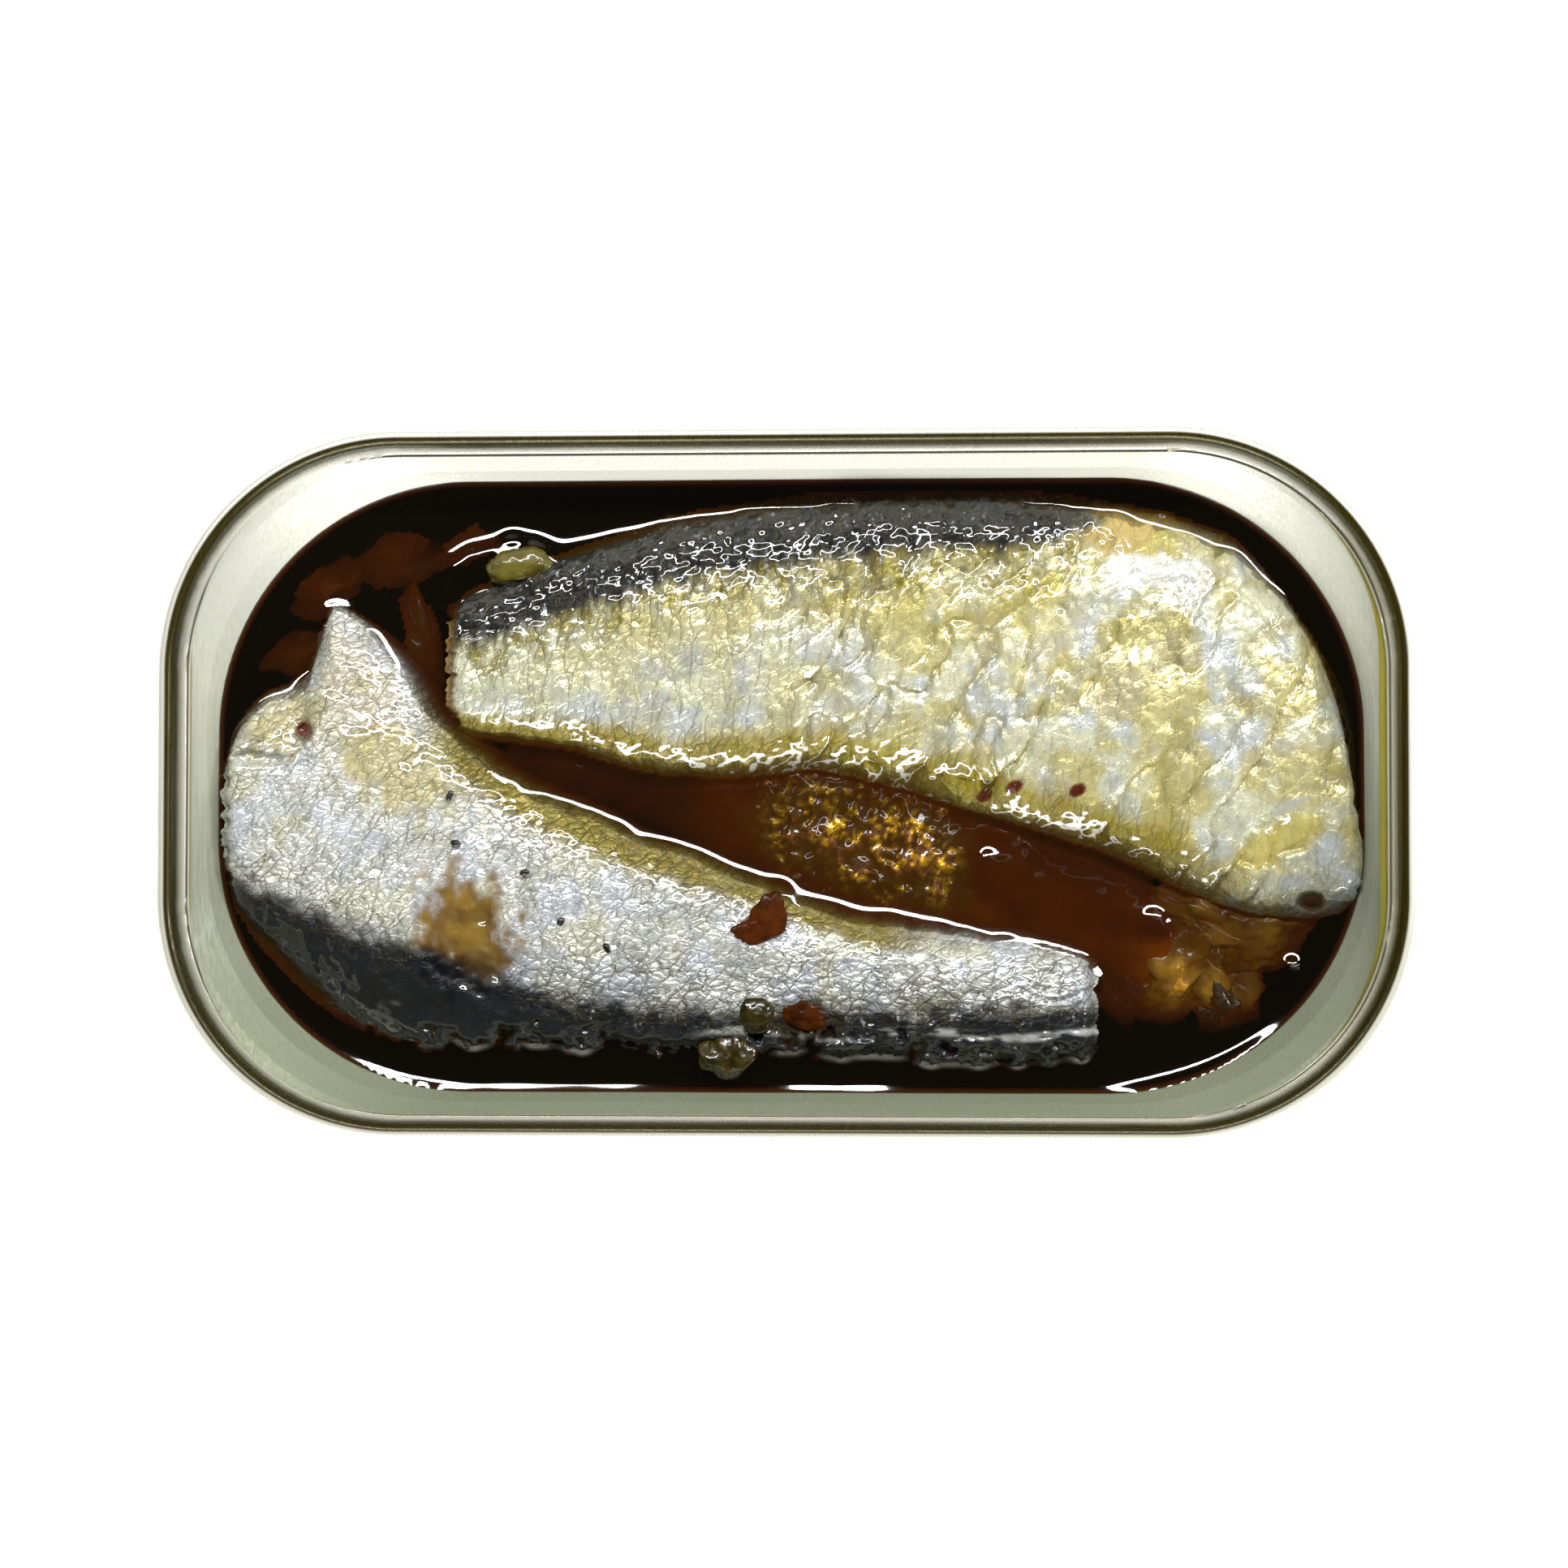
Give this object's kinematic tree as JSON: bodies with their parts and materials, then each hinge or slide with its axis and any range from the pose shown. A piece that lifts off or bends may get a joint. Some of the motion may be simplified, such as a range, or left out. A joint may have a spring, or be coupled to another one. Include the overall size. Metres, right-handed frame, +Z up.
{
  "type": "opened sardine tin",
  "caption": "Opened drawn sardine tin with rounded corners, its lid torn out along the score, holding headless sardines laid on their sides in dark amber oil.",
  "frame": {"origin": "middle of the tin's foot, at the height of the surface it stands on", "axes": "+Z up out of the open top, +X along the tin's length towards the cut end of the back sardine, +Y across the tin towards the back sardine"},
  "size_m": [0.106, 0.06, 0.025],
  "materials": {
    "tin_wall": "drawn and brushed, faint golden lacquer",
    "tin_rim": "golden lacquer, bright rolled edge",
    "sardine": "wet silver skin with a dark blue back",
    "oil": "dark amber oil, glossy and clear",
    "caper": "oily olive green",
    "pepper": "oily olive brown"
  },
  "bodies": {
    "root": {"tin_body": "tin_wall", "lid_ring": "tin_rim", "sardine_back": "sardine", "sardine_front": "sardine", "oil": "oil", "caper_back": "caper", "caper_front": "caper", "pepper_front": "pepper"}
  },
  "joints": []
}
